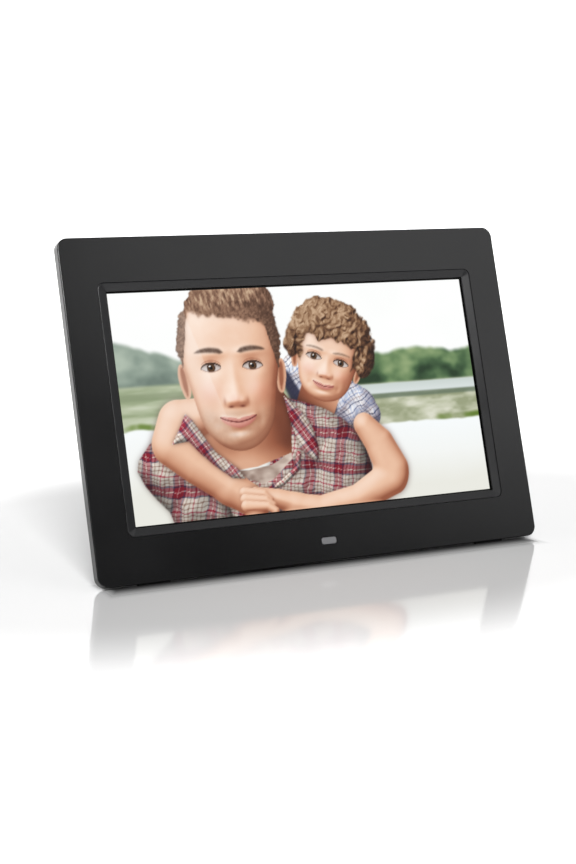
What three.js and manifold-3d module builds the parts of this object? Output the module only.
// A 10-inch digital photo frame that leans back on a fold-out rear leg.
// Case axes: X to the right seen from the front, Y from the front face towards the back,
// Z up along the face from the case's bottom edge. The whole case is then leaned back.
import * as THREE from "three";
import { mergeVertices } from "three/addons/utils/BufferGeometryUtils.js";
import Module from "manifold-3d";

const wasm = await Module();
wasm.setup();

// ---------------------------------------------------------------- driving dimensions, mm
const degree = Math.PI / 180;
const lean = 17 * degree; // the case's lean back from upright
const legOpen = 30 * degree; // the leg's angle to the case when it is open

const caseWidth = 274;
const caseHeight = 185.8;
const caseRadius = 6; // corner radius seen from the front
const rimDepth = 6; // depth of the bezel's side wall
const rimWall = 2;
const frontWall = 2.2;
const frontEdge = 0.6; // fillet radius round the front face
const rearEdge = 0.5; // chamfer round the back of the rim

const pictureWidth = 222.7; // lit area of a 10.1-inch panel
const pictureHeight = 125.3;
const pictureRaise = -0.2; // picture's centre above the middle of the case
const pictureCentreZ = caseHeight / 2 + pictureRaise;
const pictureRecess = 3; // panel glass behind the front face
const blackBorder = 0.95; // unlit glass that shows round the picture
const trimSide = 5.7; // from the picture's edge to the trim's outer edge
const trimEnd = 5.35; // the same above and below the picture
const trimWidth = pictureWidth + 2 * trimSide;
const trimHeight = pictureHeight + 2 * trimEnd;
const trimRadius = 3.6;
const trimSlope = 1.4; // how far the trim's inner edge lies behind the front face

const seam = 0.15; // gap between fixed pieces that meet
const gap = 0.3; // gap between fixed pieces that only lie close

const irWidth = 9.2; // remote-control window
const irHeight = 3.8;
const irRadius = 1.3;
const irZ = 11;

const panelSide = 6.65; // display module beyond the picture at each side
const panelEnd = 8.35; // the same above and below
const panelWidth = pictureWidth + 2 * panelSide;
const panelHeight = pictureHeight + 2 * panelEnd;
const panelSheet = 0.4;
const glassMargin = 4; // glass beyond the picture
const glassThickness = 1.2;
const backlightDepth = 3.4;

const coverWall = 2.2;
const coverDepth = 23; // back plane of the cover behind the front face
const coverBaseWidth = caseWidth - 15.5; // raised box of the cover where it leaves the flange
const coverBaseHeight = caseHeight - 12;
const coverTaper = 4; // how much each side draws in towards the back
const coverRadius = 10;
const coverEdge = 3; // rounding of the box's back edge
const flangeDepth = 2; // cover flange, flush with the back of the rim

const pivotY = coverDepth - 3.7;
const pivotZ = caseHeight - 73;
const pinRadius = 1.5;
const pinPlay = 0.09;
const barrelRadius = 3.3;
const legTopWidth = 46;
const legFootWidth = legTopWidth + 8;
const legInnerY = -1.1; // leg plate, measured from the pin towards the back
const legOuterY = 3.3;
const legSkin = 2;
const legWall = 2.2;
const recessHalfWidth = legTopWidth / 2 + 7;
const recessY = coverDepth - 5.4;
const hingePocketY = coverDepth - 8.65;
const hingePocketBelow = 8;
const hingePocketAbove = 9;
const lugWidth = 6;
const stopReach = 6.5; // tab above the pin that meets the pocket when the leg is open
const stopThickness = 3;
const stopHalfWidth = 10;

const footLength = 18;
const footInset = 0.8; // how deep each foot sits in the rim
const footX = 105;
const footFrontY = 2.6;
const footBackY = 5.2;
const footDrop = 0.15; // sole below the rim's back edge
const padInset = 6; // pad shorter than the leg's foot at each end
const padTongueHalf = 18; // tongue that holds the pad in the leg
const padTongueRise = 3;
const padTongueY = [0.4, 1.8];

const buttonCount = 7;
const buttonPitch = 12;
const buttonWidth = 8.4;
const buttonHeight = 5;
const buttonRise = 1;
const buttonTravel = 0.6;
const buttonPlay = 0.25;
const buttonRowZ = caseHeight - 31;

const postRadius = 2.2; // posts that carry the two circuit boards
const keyPostOffset = 8; // past the first and the last button
const keyBoardEnd = 3; // key board past its posts
const keyBoardInset = 10; // key board's end inside the cover's raised box
const keyBoardHalf = ((buttonCount - 1) / 2) * buttonPitch + keyPostOffset + keyBoardEnd;
const buttonRowX = coverBaseWidth / 2 - keyBoardInset - keyBoardHalf; // middle of the row

const bayX = coverBaseWidth / 2 - 6.5; // upright wall that the sockets look through
const bayFrontY = 11;
const bayBackY = coverDepth - 2.8;
const bayBottom = pictureCentreZ - 54.9;
const bayTop = bayBottom + 92;

const boardThickness = 1.6;
const boardY = 11; // front of the main board
const boardLeft = recessHalfWidth + lugWidth + 9;
const boardRight = bayX - coverWall - 0.5;
const boardBottom = bayBottom - 2;
const boardTop = bayTop + 2;

const screwRadius = 1.2;
const screwHeadRadius = 2.4;
const screwLength = 8;
const screwPlay = 0.2;
const bossRadius = 3;
const bracketBossRadius = 2.4;
const coverBossRadius = 4;
const coverBossFront = 10.5;
const screwSeatY = 12.6;
const coverScrewTopZ = caseHeight - 16.8;
const coverScrewBottomZ = 17.4;
const coverScrewOuterX = coverBaseWidth / 2 - 17;
const coverScrewInnerX = 40;

const bracketScrewX = panelWidth / 2 + 4;
const bracketScrewZ = panelHeight / 2 - 7; // above and below the picture's centre
const bracketScrewLength = 4.4;
const bracketScrewHead = 2.1;
const bracketSheet = 0.8;

const speakerWidth = 36;
const speakerHeight = 20;
const speakerX = 78;
const speakerZ = 27;
const ventX = 82;
const ventZ = 116;

const roundSides = 24;
const holeSides = 14;
const cornerSteps = 6;

// ---------------------------------------------------------------- solids
function solidOf(geometry) {
  const bare = geometry.index ? geometry.toNonIndexed() : geometry.clone();
  bare.deleteAttribute("normal");
  bare.deleteAttribute("uv");
  const merged = mergeVertices(bare, 1e-4);
  return new wasm.Manifold(
    new wasm.Mesh({
      numProp: 3,
      vertProperties: merged.attributes.position.array,
      triVerts: new Uint32Array(merged.index.array),
    }),
  );
}

function geometryOf(solid) {
  const mesh = solid.getMesh();
  const geometry = new THREE.BufferGeometry();
  geometry.setAttribute("position", new THREE.BufferAttribute(new Float32Array(mesh.vertProperties), 3));
  geometry.setIndex(new THREE.BufferAttribute(mesh.triVerts, 1));
  const faceted = geometry.toNonIndexed();
  faceted.computeVertexNormals();
  return faceted;
}

const cut = (base, ...tools) => tools.reduce((left, tool) => left.subtract(tool), base);
const join = (first, ...others) => others.reduce((sum, other) => sum.add(other), first);

// Rounded rectangle in X and Z, counter-clockwise seen from the front.
function outline(width, height, radius, centreX = 0, centreZ = 0, steps = cornerSteps) {
  const points = [];
  const corners = [
    [1, -1, -90],
    [1, 1, 0],
    [-1, 1, 90],
    [-1, -1, 180],
  ];
  for (const [sideX, sideZ, start] of corners) {
    for (let i = 0; i <= steps; i++) {
      const angle = (start + (90 * i) / steps) * degree;
      const x = centreX + sideX * (width / 2 - radius) + radius * Math.cos(angle);
      const z = centreZ + sideZ * (height / 2 - radius) + radius * Math.sin(angle);
      points.push(new THREE.Vector2(x, z));
    }
  }
  return points;
}

// Closed solid through outlines of equal point count, given as [y, points] with y rising.
function loft(sections) {
  const count = sections[0][1].length;
  const positions = [];
  const indices = [];
  for (const [y, points] of sections) {
    for (const point of points) positions.push(point.x, y, point.y);
  }
  for (let s = 0; s + 1 < sections.length; s++) {
    for (let i = 0; i < count; i++) {
      const a = s * count + i;
      const b = s * count + ((i + 1) % count);
      indices.push(a, a + count, b, b, a + count, b + count);
    }
  }
  const last = (sections.length - 1) * count;
  for (let i = 1; i + 1 < count; i++) {
    indices.push(0, i, i + 1, last, last + i + 1, last + i);
  }
  const geometry = new THREE.BufferGeometry();
  geometry.setAttribute("position", new THREE.Float32BufferAttribute(positions, 3));
  geometry.setIndex(indices);
  return solidOf(geometry);
}

const slab = (points, y0, y1) => loft([[y0, points], [y1, points]]);

function block(x0, x1, y0, y1, z0, z1) {
  const geometry = new THREE.BoxGeometry(x1 - x0, y1 - y0, z1 - z0);
  return solidOf(geometry.translate((x0 + x1) / 2, (y0 + y1) / 2, (z0 + z1) / 2));
}

// Cylinder along Y.
function peg(x, z, radius, y0, y1, sides = roundSides) {
  const geometry = new THREE.CylinderGeometry(radius, radius, y1 - y0, sides);
  return solidOf(geometry.translate(x, (y0 + y1) / 2, z));
}

// Cylinder along X.
function rod(y, z, radius, x0, x1, sides = roundSides) {
  const geometry = new THREE.CylinderGeometry(radius, radius, x1 - x0, sides).rotateZ(Math.PI / 2);
  return solidOf(geometry.translate((x0 + x1) / 2, y, z));
}

// Outline in Y and Z, extruded along X.
function profile(points, x0, x1) {
  const shape = new THREE.Shape(points.map(([y, z]) => new THREE.Vector2(y, z)));
  const geometry = new THREE.ExtrudeGeometry(shape, { depth: x1 - x0, bevelEnabled: false });
  geometry.applyMatrix4(new THREE.Matrix4().set(0, 0, 1, x0, 1, 0, 0, 0, 0, 1, 0, 0, 0, 0, 0, 1));
  return solidOf(geometry);
}

// Solid of revolution about Y from [radius, y] points.
function turned(points, sides = roundSides) {
  return solidOf(new THREE.LatheGeometry(points.map(([r, y]) => new THREE.Vector2(r, y)), sides));
}

// Tube along a smooth path, for the leads.
function tube(points, radius, steps, sides = 6) {
  const path = new THREE.CatmullRomCurve3(points.map((p) => new THREE.Vector3(...p)));
  const section = new THREE.Shape(new THREE.Path().absarc(0, 0, radius, 0, 2 * Math.PI).getPoints(sides));
  return solidOf(new THREE.ExtrudeGeometry(section, { steps, extrudePath: path, curveSegments: 1 }));
}

// ---------------------------------------------------------------- materials
const finish = (color, roughness, metalness = 0) =>
  new THREE.MeshStandardMaterial({ color, roughness, metalness });
const blackCase = finish(0x1b1b1c, 0.35);
const blackTrim = finish(0x29292a, 0.5);
const blackCover = finish(0x1e1e1f, 0.7);
const smokedWindow = finish(0x8a8a8a, 0.25);
const displayGlass = finish(0xe8eae6, 0.15);
const whitePlastic = finish(0xf0f0ec, 0.6);
const blackPlastic = finish(0x141415, 0.55);
const rubber = finish(0x161616, 0.9);
const steel = finish(0xb9bcc0, 0.35, 1);
const boardGreen = finish(0x1d5c38, 0.5);
const chipBlack = finish(0x1a1b1d, 0.45);
const ribbonAmber = finish(0xa9712a, 0.4);
const leadRed = finish(0xa02020, 0.5);
const leadBlack = finish(0x202020, 0.5);

const photoFrame = new THREE.Group();
const caseGroup = new THREE.Group();
caseGroup.rotation.x = -lean;
photoFrame.add(caseGroup);

function place(name, solid, material, parent = caseGroup) {
  const mesh = new THREE.Mesh(geometryOf(solid), material);
  mesh.name = name;
  parent.add(mesh);
  return mesh;
}

// ---------------------------------------------------------------- shared places
const caseCentreZ = caseHeight / 2;
const coverScrews = [
  ["top_outer_left", -coverScrewOuterX, coverScrewTopZ],
  ["top_inner_left", -coverScrewInnerX, coverScrewTopZ],
  ["top_inner_right", coverScrewInnerX, coverScrewTopZ],
  ["top_outer_right", coverScrewOuterX, coverScrewTopZ],
  ["bottom_left", -coverScrewOuterX, coverScrewBottomZ],
  ["bottom_right", coverScrewOuterX, coverScrewBottomZ],
];
const bracketScrews = [-1, 1].flatMap((side) =>
  [-1, 1].map((up) => [side * bracketScrewX, pictureCentreZ + up * bracketScrewZ]),
);
const panelFront = pictureRecess - panelSheet - seam; // front lip of the module's steel frame
const backlightFront = pictureRecess + glassThickness + gap - 0.1;
const panelBack = backlightFront + backlightDepth;
const bracketY = panelBack + gap;
const wallInside = coverDepth - coverWall;

// Local Z of the desk below a case point at depth y.
const deskAt = (y) => -footDrop + (y - rimDepth) * Math.tan(lean);
const pivotHeight = (pivotZ - deskAt(pivotY)) * Math.cos(lean);
const legToDesk = legOpen - lean;
const legReach = pivotHeight / Math.cos(legToDesk);

const boardBack = boardY + boardThickness;
const boardHoles = [
  [boardLeft + 4, boardBottom + 4],
  [boardLeft + 4, boardTop - 4],
  [boardRight - 5, boardTop - 4],
];

const buttonX = (i) => buttonRowX + (i - (buttonCount - 1) / 2) * buttonPitch;

// ---------------------------------------------------------------- front bezel
function footSlot(side, play) {
  const half = footLength / 2 + play;
  const x = side * footX;
  return block(x - half, x + half, footFrontY - play, footBackY + play, -2, footInset + play);
}

function frontBezel() {
  const edgeSteps = 5;
  const inset = (d) => outline(caseWidth - 2 * d, caseHeight - 2 * d, caseRadius - d, 0, caseCentreZ);
  const sections = [];
  for (let i = 0; i <= edgeSteps; i++) {
    const angle = (90 * degree * i) / edgeSteps;
    sections.push([frontEdge * (1 - Math.sin(angle)), inset(frontEdge * (1 - Math.cos(angle)))]);
  }
  sections.reverse();
  const body = loft([...sections, [rimDepth - rearEdge, inset(0)], [rimDepth, inset(rearEdge)]]);
  const hollow = slab(inset(rimWall), frontWall, rimDepth + 1);
  const opening = slab(
    outline(trimWidth + 2 * seam, trimHeight + 2 * seam, trimRadius + seam, 0, pictureCentreZ),
    -1,
    frontWall + 1,
  );
  const window = slab(
    outline(irWidth + 2 * seam, irHeight + 2 * seam, irRadius + seam, 0, irZ),
    -1,
    frontWall + 1,
  );
  let bezel = cut(body, hollow, opening, window);
  const bosses = [
    ...coverScrews.map(([, x, z]) => peg(x, z, bossRadius, 2, coverBossFront - gap, holeSides)),
    ...bracketScrews.map(([x, z]) => peg(x, z, bracketBossRadius, 2, bracketY - gap, holeSides)),
  ];
  bezel = join(bezel, ...bosses);
  for (const [, x, z] of coverScrews) {
    bezel = cut(bezel, peg(x, z, screwRadius + screwPlay, 3.4, coverBossFront + 1, holeSides));
  }
  for (const [x, z] of bracketScrews) {
    bezel = cut(bezel, peg(x, z, screwRadius + screwPlay, 3, bracketY + 1, holeSides));
  }
  // ribs that locate the display module above and below
  const ribZ = panelHeight / 2 + 0.5;
  for (const up of [-1, 1]) {
    for (const x of [-70, 0, 70]) {
      const z = pictureCentreZ + up * (ribZ + 0.7);
      bezel = join(bezel, block(x - 9, x + 9, 2, panelBack - 1, z - 0.7, z + 0.7));
    }
  }
  return cut(bezel, footSlot(-1, seam), footSlot(1, seam));
}

// ---------------------------------------------------------------- trim round the picture
function screenTrim() {
  const innerWidth = pictureWidth + 2 * blackBorder;
  const innerHeight = pictureHeight + 2 * blackBorder;
  const outer = (d) => outline(trimWidth - 2 * d, trimHeight - 2 * d, trimRadius - d, 0, pictureCentreZ);
  const inner = outline(innerWidth, innerHeight, 0.4, 0, pictureCentreZ);
  const lip = 0.45; // flat land between the trim's outer edge and its slope
  const body = loft([[0.1, outer(0.15)], [0.25, outer(0)], [frontWall, outer(0)]]);
  const slopeRise = trimSlope / ((trimWidth - innerWidth) / 2 - lip);
  const funnel = loft([
    [0.1 - 2 * slopeRise, outer(lip - 2)],
    [trimSlope, inner],
    [frontWall + 1, inner],
  ]);
  return cut(body, funnel);
}

// ---------------------------------------------------------------- remote-control window
function irWindow() {
  const face = (d, y) => [y, outline(irWidth - 2 * d, irHeight - 2 * d, irRadius - d, 0, irZ, 4)];
  const lens = loft([face(0.3, 0.05), face(0, 0.3), face(0, frontWall)]);
  const flange = slab(outline(irWidth + 2.4, irHeight + 2.4, irRadius, 0, irZ, 4), frontWall + seam, 3.2);
  const neck = slab(outline(irWidth - 1, irHeight - 1, 0.8, 0, irZ, 4), frontWall - 0.5, 3);
  return join(lens, neck, flange);
}

// ---------------------------------------------------------------- display module
function panelGlass() {
  return block(
    -pictureWidth / 2 - glassMargin,
    pictureWidth / 2 + glassMargin,
    pictureRecess,
    pictureRecess + glassThickness,
    pictureCentreZ - pictureHeight / 2 - glassMargin,
    pictureCentreZ + pictureHeight / 2 + glassMargin,
  );
}

function panelFrame() {
  const size = (d, y0, y1) =>
    slab(outline(panelWidth - 2 * d, panelHeight - 2 * d, 1, 0, pictureCentreZ, 2), y0, y1);
  const lipCover = 2; // how far the lip reaches over the glass
  const window = block(
    -pictureWidth / 2 - lipCover,
    pictureWidth / 2 + lipCover,
    panelFront - 1,
    panelBack,
    pictureCentreZ - pictureHeight / 2 - lipCover,
    pictureCentreZ + pictureHeight / 2 + lipCover,
  );
  return cut(size(0, panelFront, panelBack), size(panelSheet, panelFront + panelSheet, panelBack + 1), window);
}

function backlight() {
  const d = panelSheet + gap;
  const body = slab(
    outline(panelWidth - 2 * d, panelHeight - 2 * d, 0.8, 0, pictureCentreZ, 2),
    backlightFront,
    panelBack,
  );
  const half = panelHeight / 2 - 11;
  const groove = (x) =>
    block(x - 2, x + 2, panelBack - 0.6, panelBack + 1, pictureCentreZ - half, pictureCentreZ + half);
  return cut(body, groove(-panelWidth / 4), groove(panelWidth / 4));
}

function displayRibbon() {
  // folded strip from the back of the module up to the main board
  const z0 = boardBottom + 22;
  const z1 = z0 + 22;
  const thick = 0.25;
  const fold = boardLeft - 28;
  const front = panelBack + 0.2;
  const back = boardY - 0.4;
  const strip = block(fold, boardLeft + 12, back - thick, back, z0, z1);
  const foot = block(fold, fold + 20, front, front + thick, z0, z1);
  const riser = block(fold, fold + thick, front, back, z0, z1);
  return join(strip, foot, riser);
}

function panelBracket(side) {
  const x0 = panelWidth / 2 - 6;
  const x1 = bracketScrewX + 2.6;
  const half = bracketScrewZ + 3.5;
  const strap = block(x0, x1, bracketY, bracketY + bracketSheet, pictureCentreZ - half, pictureCentreZ + half);
  const bore = screwRadius + screwPlay;
  const holes = [-1, 1].map((up) =>
    peg(bracketScrewX, pictureCentreZ + up * bracketScrewZ, bore, bracketY - 1, bracketY + 2, holeSides),
  );
  const bracket = cut(strap, ...holes);
  return side > 0 ? bracket : bracket.mirror([1, 0, 0]);
}

// ---------------------------------------------------------------- rear cover
const coverSize = (d) => [coverBaseWidth - 2 * d, coverBaseHeight - 2 * d];
const coverOutline = (d) => outline(...coverSize(d), Math.max(coverRadius - d / 2, 2), 0, caseCentreZ);

// The raised box: straight drawn-in walls, then a rounded back edge.
function coverBox(wall) {
  const drawnIn = (y) => (coverTaper * (y - rimDepth)) / (coverDepth - rimDepth);
  const back = coverDepth - wall;
  const edge = Math.max(coverEdge - wall, 0.8);
  const open = wall ? 1 : 0; // the hollow runs out past the flange
  const sections = [[rimDepth - flangeDepth - open, coverOutline(wall)]];
  for (let i = 0; i <= 4; i++) {
    const angle = (90 * degree * i) / 4;
    const y = back - edge * (1 - Math.sin(angle));
    sections.push([y, coverOutline(wall + drawnIn(y) + edge * (1 - Math.cos(angle)))]);
  }
  return loft(sections);
}

function slots(count, pitch, width, height, x, z) {
  const all = [];
  for (let i = 0; i < count; i++) {
    const at = x + (i - (count - 1) / 2) * pitch;
    all.push(slab(outline(width, height, width / 3, at, z, 1), wallInside - 1, coverDepth + 1));
  }
  return all;
}

// Sockets on the side bay: name, middle height, half size along Z and Y, and middle depth.
const sockets = {
  card: { z: bayBottom + 74, halfZ: 12.4, y: boardBack + 2.1, halfY: 1.5 },
  usb: { z: bayBottom + 46.5, halfZ: 6.7, y: boardBack + 3.9, halfY: 3.1 },
  service: { z: bayBottom + 32.5, halfZ: 4.1, y: boardBack + 2.3, halfY: 2.1 },
  audio: { z: bayBottom + 20.5, radius: 3.1, y: boardBack + 3.3 },
  power: { z: bayBottom + 7.5, radius: 3.9, y: boardBack + 4.0 },
};
const socketPlay = 0.35;

function socketWindows() {
  const reach = [bayX - coverWall - 1, bayX + 1];
  return Object.values(sockets).map((s) =>
    s.radius
      ? rod(s.y, s.z, s.radius + socketPlay, ...reach)
      : block(
          ...reach,
          s.y - s.halfY - socketPlay,
          s.y + s.halfY + socketPlay,
          s.z - s.halfZ - socketPlay,
          s.z + s.halfZ + socketPlay,
        ),
  );
}

function rearCover() {
  const inRim = rimWall + seam;
  const flange = slab(
    outline(caseWidth - 2 * inRim, caseHeight - 2 * inRim, caseRadius - inRim, 0, caseCentreZ),
    rimDepth - flangeDepth,
    rimDepth,
  );
  const box = coverBox(0);
  const shell = cut(join(flange, box), coverBox(coverWall));
  const recessWall = join(
    block(
      -recessHalfWidth - coverWall,
      recessHalfWidth + coverWall,
      recessY - coverWall,
      coverDepth,
      0,
      pivotZ,
    ),
    block(
      -recessHalfWidth - lugWidth,
      recessHalfWidth + lugWidth,
      hingePocketY - coverWall,
      coverDepth,
      pivotZ - hingePocketBelow - coverWall,
      pivotZ + hingePocketAbove + coverWall,
    ),
  );
  const bayWall = block(
    bayX - coverWall,
    coverBaseWidth,
    bayFrontY - 1.6,
    coverDepth,
    bayBottom - coverWall,
    bayTop + coverWall,
  );
  const bosses = coverScrews.map(([, x, z]) => peg(x, z, coverBossRadius, coverBossFront, coverDepth));
  const guides = block(
    buttonX(0) - buttonPitch / 2,
    buttonX(buttonCount - 1) + buttonPitch / 2,
    wallInside - 0.8,
    coverDepth,
    buttonRowZ - buttonHeight / 2 - 2.2,
    buttonRowZ + buttonHeight / 2 + 2.2,
  );
  const keyPosts = [buttonX(0) - keyPostOffset, buttonX(buttonCount - 1) + keyPostOffset].map((x) =>
    peg(x, buttonRowZ, postRadius, keyBoardBack + gap, coverDepth, holeSides),
  );
  const boardPosts = boardHoles.map(([x, z]) => peg(x, z, postRadius, boardBack + gap, coverDepth, holeSides));
  const inside = join(recessWall, bayWall, guides, ...bosses, ...keyPosts, ...boardPosts).intersect(box);
  let cover = join(shell, inside);

  const recess = block(-recessHalfWidth, recessHalfWidth, recessY, coverDepth + 5, -5, pivotZ);
  const pocket = block(
    -recessHalfWidth,
    recessHalfWidth,
    hingePocketY,
    coverDepth + 5,
    pivotZ - hingePocketBelow,
    pivotZ + hingePocketAbove,
  );
  const pinHole = rod(
    pivotY,
    pivotZ,
    pinRadius + pinPlay,
    -recessHalfWidth - lugWidth + 1.5,
    recessHalfWidth + lugWidth - 1.5,
  );
  cover = cut(cover, recess, pocket, pinHole);

  const bay = block(bayX, coverBaseWidth, bayFrontY, bayBackY, bayBottom, bayTop);
  cover = cut(cover, bay, ...socketWindows());

  for (const [, x, z] of coverScrews) {
    const shank = peg(x, z, screwRadius + screwPlay, coverBossFront - 1, coverDepth + 1, holeSides);
    cover = cut(cover, shank, peg(x, z, screwHeadRadius + 0.4, screwSeatY, coverDepth + 1));
  }
  for (let i = 0; i < buttonCount; i++) {
    const hole = outline(
      buttonWidth + 2 * buttonPlay,
      buttonHeight + 2 * buttonPlay,
      buttonHeight / 2,
      buttonX(i),
      buttonRowZ,
      capSteps,
    );
    cover = cut(cover, slab(hole, wallInside - 2, coverDepth + 1));
  }
  for (const side of [-1, 1]) {
    cover = cut(cover, ...slots(8, 3.8, 1.6, 14, side * speakerX, speakerZ));
    cover = cut(cover, ...slots(9, 5.4, 2, 18, side * ventX, ventZ));
  }
  return cover;
}

// ---------------------------------------------------------------- fasteners
function screw(length, headRadius, headHeight) {
  const body = turned([
    [0, 0],
    [screwRadius * 0.5, 0],
    [screwRadius, 0.9],
    [screwRadius, length],
    [headRadius, length],
    [headRadius, length + headHeight * 0.45],
    [headRadius * 0.55, length + headHeight],
    [0, length + headHeight],
  ], holeSides);
  const top = length + headHeight + 1;
  const recess = length + headHeight * 0.35;
  const arm = headRadius * 0.6;
  const half = 0.28; // half width of the cross recess
  return cut(body, block(-arm, arm, recess, top, -half, half), block(-half, half, recess, top, -arm, arm));
}

// ---------------------------------------------------------------- buttons and key board
const buttonNames = ["power", "menu", "previous", "play", "next", "volume_down", "volume_up"];
const capTop = coverDepth + buttonRise;
const flangeTop = wallInside - 0.8 - 0.2;
const flangeHeight = 0.8;
const capSteps = 4;

function button(i) {
  const shape = (d) =>
    outline(buttonWidth - 2 * d, buttonHeight - 2 * d, buttonHeight / 2 - d, buttonX(i), buttonRowZ, capSteps);
  const cap = (d, y) => [y, shape(d)];
  const dome = loft([cap(0, flangeTop - 0.2), cap(0, capTop - 0.5), cap(0.15, capTop - 0.2), cap(0.5, capTop)]);
  const skirt = slab(
    outline(buttonWidth + 1.8, buttonHeight + 1.8, buttonHeight / 2, buttonX(i), buttonRowZ, capSteps),
    flangeTop - flangeHeight,
    flangeTop,
  );
  return join(dome, skirt);
}

const plungerTop = flangeTop - flangeHeight - buttonTravel - 0.1; // where a pressed cap stops
const switchHeight = 3;

function tactSwitch(i) {
  const x = buttonX(i);
  const body = block(x - 3, x + 3, plungerTop - switchHeight, plungerTop - 0.7, buttonRowZ - 3, buttonRowZ + 3);
  return join(body, peg(x, buttonRowZ, 1.7, plungerTop - 1, plungerTop, 16));
}

const keyBoardBack = plungerTop - switchHeight - 0.2;
const keyBoardThickness = 1.2;

function keyBoard() {
  return block(
    buttonRowX - keyBoardHalf,
    buttonRowX + keyBoardHalf,
    keyBoardBack - keyBoardThickness,
    keyBoardBack,
    buttonRowZ - 7,
    buttonRowZ + 7,
  );
}

function keyRibbon() {
  const x = boardLeft + 15;
  const y = keyBoardBack - keyBoardThickness - 0.5;
  const thick = 0.25;
  const end = boardTop - 6;
  const top = block(x - 6, x + 6, y, y + thick, end, buttonRowZ + 3);
  const drop = block(x - 6, x + 6, boardBack + gap, y + thick, end, end + thick);
  return join(top, drop);
}

// ---------------------------------------------------------------- electronics
function chip(x, z, size, height) {
  const y = boardBack + gap;
  return cut(
    slab(outline(size, size, 0.4, x, z, 2), y, y + height),
    peg(x - size / 2 + 1.6, z + size / 2 - 1.6, 0.6, y + height - 0.2, y + height + 1, 12),
  );
}

function mainBoard() {
  const middle = [(boardLeft + boardRight) / 2, (boardBottom + boardTop) / 2];
  const board = slab(outline(boardRight - boardLeft, boardTop - boardBottom, 1.5, ...middle, 3), boardY, boardBack);
  return cut(board, ...boardHoles.map(([x, z]) => peg(x, z, 1.6, boardY - 1, boardBack + 1, holeSides)));
}

// Metal shell socket with its mouth at the bay; the tongue stays attached at the closed end.
function shellSocket({ z, halfZ, y, halfY }, length, sheet, tongueHalfY) {
  const mouth = bayX - 0.4;
  const about = (x0, x1, deep, tall) => block(x0, x1, y - deep, y + deep, z - tall, z + tall);
  const outer = about(mouth - length, mouth, halfY, halfZ);
  const cavity = about(mouth - length + 1.5, mouth + 1, halfY - sheet, halfZ - sheet);
  const tongue = about(mouth - length + 0.5, mouth - 1, tongueHalfY, halfZ - 1.5);
  return join(cut(outer, cavity), tongue);
}

function audioJack() {
  const { z, y } = sockets.audio;
  const body = block(bayX - 13, bayX - coverWall - gap, y - 3, y + 3, z - 3.4, z + 3.4);
  return cut(join(body, rod(y, z, 2.9, bayX - 4, bayX - 0.4)), rod(y, z, 1.8, bayX - 11.5, bayX + 1));
}

function powerJack() {
  const { z, y } = sockets.power;
  const body = block(bayX - 14, bayX - coverWall - gap, y - 3.7, y + 3.7, z - 4.4, z + 4.4);
  const barrel = cut(join(body, rod(y, z, 3.7, bayX - 4, bayX - 0.4)), rod(y, z, 2.8, bayX - 10, bayX + 1));
  return join(barrel, rod(y, z, 1, bayX - 11, bayX - 1.5, 16));
}

function speaker(side) {
  const x = side * speakerX;
  const face = wallInside - 0.4;
  const basket = slab(outline(speakerWidth, speakerHeight, 4, x, speakerZ, 4), face - 1.4, face);
  const cone = slab(outline(speakerWidth - 5, speakerHeight - 5, 6, x, speakerZ, 4), face - 0.8, face + 1);
  const frame = slab(outline(speakerWidth - 6, speakerHeight - 4, 6, x, speakerZ, 4), face - 4, face - 1);
  return cut(join(basket, frame, peg(x, speakerZ, 6, face - 6.2, face - 3)), cone);
}

function speakerLead(side) {
  const radius = 0.6;
  const speakerBack = wallInside - 0.4 - 4;
  const onSpeaker = [side * (speakerX - 12), speakerBack - gap - radius, speakerZ + 4];
  const onBoard = boardBack + gap + radius + 0.1;
  const below = recessY - coverWall - 2; // clear of the wall behind the leg
  if (side > 0) {
    const bends = [[boardLeft + 14, speakerBack - 1, 37], [boardLeft + 9, below + 1, 43]];
    return tube([onSpeaker, ...bends, [boardLeft + 8, onBoard, boardBottom + 13]], radius, 10);
  }
  const run = [[-50, below + 1, 38], [-25, below + 0.2, 41], [20, below + 0.2, 46]];
  return tube([onSpeaker, ...run, [boardLeft + 5, onBoard, boardBottom + 18]], radius, 20);
}

function irReceiver() {
  const face = 3.6;
  return join(
    block(-3, 3, face + 1, face + 3.6, irZ - 1.6, irZ + 5),
    peg(0, irZ, 2, face, face + 1.5, 16),
  );
}

function irBoard() {
  return block(-7, 7, 7.6, 8.8, irZ - 1.3, irZ + 8.3);
}

// ---------------------------------------------------------------- stand
const legGroup = new THREE.Group();
legGroup.position.set(0, pivotY, pivotZ);
legGroup.rotation.x = legOpen;
caseGroup.add(legGroup);

const padTop = -legReach + 1.6; // where the leg's plastic ends and the rubber begins

// Outline of the leg plate in X and Z, wider at the foot, with round foot corners.
function legOutline(inset) {
  const top = legTopWidth / 2 - inset;
  const foot = legFootWidth / 2 - inset;
  const radius = 5 - Math.min(inset, 3);
  const bottom = padTop + inset;
  const points = [];
  for (let i = 0; i <= cornerSteps; i++) {
    const angle = (-90 + (90 * i) / cornerSteps) * degree;
    const x = foot - radius + radius * Math.cos(angle);
    points.push(new THREE.Vector2(x, bottom + radius + radius * Math.sin(angle)));
  }
  points.push(new THREE.Vector2(top, -inset), new THREE.Vector2(-top, -inset));
  const right = points.slice(0, cornerSteps + 1).reverse();
  return [...points, ...right.map((point) => new THREE.Vector2(-point.x, point.y))];
}

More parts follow.
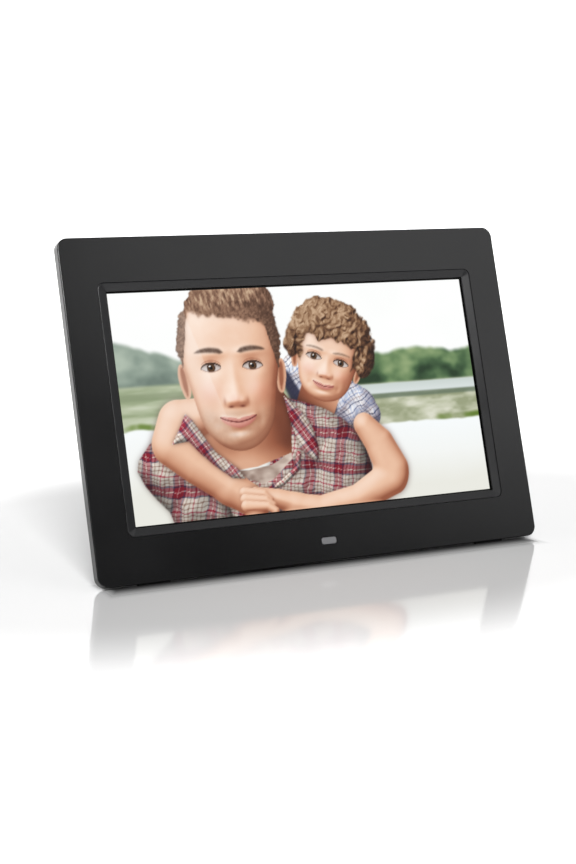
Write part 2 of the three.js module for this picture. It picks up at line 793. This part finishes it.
function standLeg() {
  const edge = 0.7;
  const plate = loft([
    [legInnerY, legOutline(0)],
    [legOuterY - edge, legOutline(0)],
    [legOuterY, legOutline(edge)],
  ]);
  const barrel = rod(0, 0, barrelRadius, -legTopWidth / 2, legTopWidth / 2);
  const tab = block(-stopHalfWidth, stopHalfWidth, -stopThickness / 2, stopThickness / 2, 0, stopReach);
  const hollowTop = -barrelRadius - 4;
  const hollow = (z0, z1, x0, x1) => block(x0, x1, legInnerY - 1, legOuterY - legSkin, z0, z1);
  const rib = 1.6;
  const bays = 4;
  const bayHeight = (padTop + 7 - hollowTop) / bays;
  const half = legTopWidth / 2 - legWall;
  const hollows = [];
  for (let i = 0; i < bays; i++) {
    const z1 = hollowTop + i * bayHeight - rib / 2;
    const z0 = z1 + bayHeight + rib;
    hollows.push(hollow(z0, z1, rib / 2, half), hollow(z0, z1, -half, -rib / 2));
  }
  const [y0, y1] = padTongueY;
  const tongueHalf = padTongueHalf + seam;
  const tongueSlot = block(-tongueHalf, tongueHalf, y0 - seam, y1 + seam, padTop - 1, padTop + padTongueRise + seam);
  const bore = rod(0, 0, pinRadius + pinPlay, -legTopWidth, legTopWidth);
  return cut(join(plate, barrel, tab), ...hollows, tongueSlot, bore);
}

function legPad() {
  const sole = (y) => -legReach - y * Math.tan(legToDesk);
  const y0 = legInnerY + 0.2;
  const y1 = legOuterY - 0.8;
  const half = legFootWidth / 2 - padInset;
  const sleeve = profile([[y0, sole(y0)], [y1, sole(y1)], [y1, padTop - seam], [y0, padTop - seam]], -half, half);
  const tongue = block(-padTongueHalf, padTongueHalf, ...padTongueY, padTop - seam - 0.2, padTop + padTongueRise);
  return join(sleeve, tongue);
}

function hingePin() {
  const half = recessHalfWidth + lugWidth - 2;
  return rod(pivotY, pivotZ, pinRadius, -half, half);
}

function spacerSleeve(side) {
  const x0 = legTopWidth / 2 + gap;
  const x1 = recessHalfWidth - gap;
  const sleeve = cut(rod(pivotY, pivotZ, 2.8, x0, x1), rod(pivotY, pivotZ, pinRadius + pinPlay, x0 - 1, x1 + 1));
  return side > 0 ? sleeve : sleeve.mirror([1, 0, 0]);
}

// ---------------------------------------------------------------- rubber feet under the rim
function caseFoot(side) {
  const x0 = side * footX - footLength / 2;
  const sole = [footFrontY, footBackY].map((y) => [y, deskAt(y)]);
  return profile([...sole, [footBackY, footInset], [footFrontY, footInset]], x0, x0 + footLength);
}

// ---------------------------------------------------------------- assembly
place("front_bezel", frontBezel(), blackCase);
place("screen_trim", screenTrim(), blackTrim);
place("ir_window", irWindow(), smokedWindow);
place("display_glass", panelGlass(), displayGlass);
place("display_frame", panelFrame(), steel);
place("display_backlight", backlight(), whitePlastic);
place("display_ribbon", displayRibbon(), ribbonAmber);
place("display_bracket_left", panelBracket(-1), steel);
place("display_bracket_right", panelBracket(1), steel);
place("rear_cover", rearCover(), blackCover);

for (const [name, x, z] of coverScrews) {
  place("cover_screw_" + name, screw(screwLength, screwHeadRadius, 1.7), steel).position.set(
    x,
    screwSeatY + seam - screwLength,
    z,
  );
}
bracketScrews.forEach(([x, z], i) => {
  place("bracket_screw_" + (i + 1), screw(bracketScrewLength, bracketScrewHead, 1.2), steel).position.set(
    x,
    bracketY + bracketSheet + seam - bracketScrewLength,
    z,
  );
});

place("main_board", mainBoard(), boardGreen);
place("processor_chip", chip(boardLeft + 29, boardBottom + 54, 17, 1.4), chipBlack);
place("memory_chip", chip(boardLeft + 29, boardBottom + 32, 10, 1), chipBlack);
place("power_capacitor", peg(boardRight - 23, boardBottom + 6, 3.2, boardBack + gap, boardBack + 5.6), steel);
place("card_socket", shellSocket(sockets.card, 27, 0.3, 0.25), steel);
place("usb_socket", shellSocket(sockets.usb, 14, 0.3, 0.9), steel);
place("service_socket", shellSocket(sockets.service, 9, 0.3, 0.4), steel);
place("audio_jack", audioJack(), blackPlastic);
place("power_jack", powerJack(), blackPlastic);

place("key_board", keyBoard(), boardGreen);
place("key_ribbon", keyRibbon(), whitePlastic);
for (let i = 0; i < buttonCount; i++) {
  place("button_" + buttonNames[i], button(i), blackPlastic);
  place("tact_switch_" + buttonNames[i], tactSwitch(i), chipBlack);
}

place("ir_receiver", irReceiver(), chipBlack);
place("ir_board", irBoard(), boardGreen);
place("speaker_left", speaker(-1), blackPlastic);
place("speaker_right", speaker(1), blackPlastic);
place("speaker_lead_left", speakerLead(-1), leadRed);
place("speaker_lead_right", speakerLead(1), leadBlack);

place("stand_leg", standLeg(), blackCover, legGroup);
place("stand_foot_pad", legPad(), rubber, legGroup);
place("hinge_pin", hingePin(), steel);
place("hinge_spacer_left", spacerSleeve(-1), blackPlastic);
place("hinge_spacer_right", spacerSleeve(1), blackPlastic);
place("case_foot_left", caseFoot(-1), rubber);
place("case_foot_right", caseFoot(1), rubber);

// The row's origin is the middle of the object's footprint on the desk.
photoFrame.updateMatrixWorld(true);
const extent = new THREE.Box3().setFromObject(photoFrame, true);
const middle = extent.getCenter(new THREE.Vector3());
caseGroup.position.set(-middle.x, -middle.y, -extent.min.z);

export default photoFrame;
